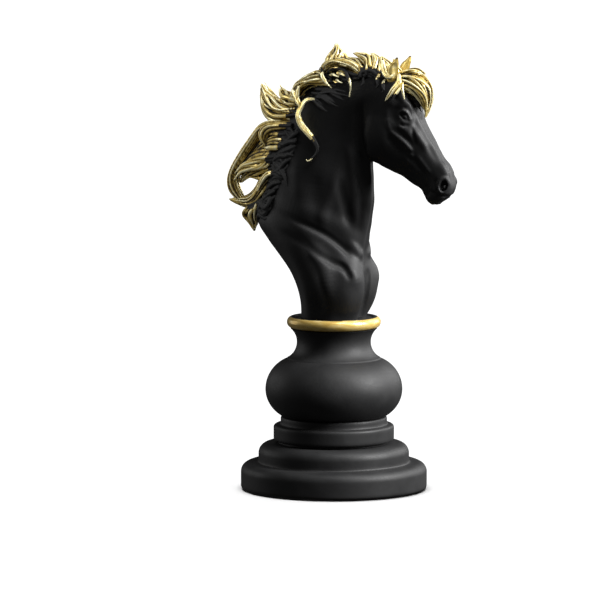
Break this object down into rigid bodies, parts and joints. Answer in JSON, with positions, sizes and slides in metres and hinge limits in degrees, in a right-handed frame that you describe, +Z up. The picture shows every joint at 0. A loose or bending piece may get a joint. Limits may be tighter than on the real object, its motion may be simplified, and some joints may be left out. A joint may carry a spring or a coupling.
{
  "type": "giant chess piece",
  "caption": "Ornamental chess knight: black horse bust with gilded mane, forelock and ears on a round stepped and turned pedestal with a gilded rim.",
  "frame": {"origin": "centre of the felt face that the piece rests on, on the axis of the round pedestal", "axes": "+Z up along the pedestal's axis, +X the way the horse faces, +Y the horse's left"},
  "size_m": [0.138, 0.1, 0.2391],
  "materials": {
    "black_resin": "matte black paint on cold-cast resin",
    "gilt_resin": "gold paint dry-brushed over black cast resin",
    "zinc_steel": "bright zinc plate",
    "cover_plate": "mill finish",
    "cast_iron": "rough as cast",
    "brass": "turned",
    "felt": "pressed wool felt"
  },
  "bodies": {
    "root": {"felt_pad": "felt", "base_cover": "cover_plate", "cover_screw_1": "zinc_steel", "cover_screw_2": "zinc_steel", "cover_screw_3": "zinc_steel", "ballast_disc": "cast_iron", "plinth": "black_resin", "collar": "black_resin", "bulb_body": "black_resin", "gilt_rim": "gilt_resin", "tie_rod": "zinc_steel", "tie_nut": "zinc_steel", "tie_washer": "zinc_steel", "bust_insert": "brass", "locating_dowel_1": "zinc_steel", "locating_dowel_2": "zinc_steel", "horse_bust": "black_resin", "ear_right": "gilt_resin", "ear_left": "gilt_resin", "forelock": "gilt_resin", "mane_poll": "gilt_resin", "mane_crest": "gilt_resin", "mane_mid": "gilt_resin", "mane_flame": "gilt_resin", "mane_wing": "gilt_resin", "mane_hook": "gilt_resin", "mane_tail": "gilt_resin", "mane_curl_right": "gilt_resin", "mane_curl_left": "gilt_resin"}
  },
  "joints": []
}
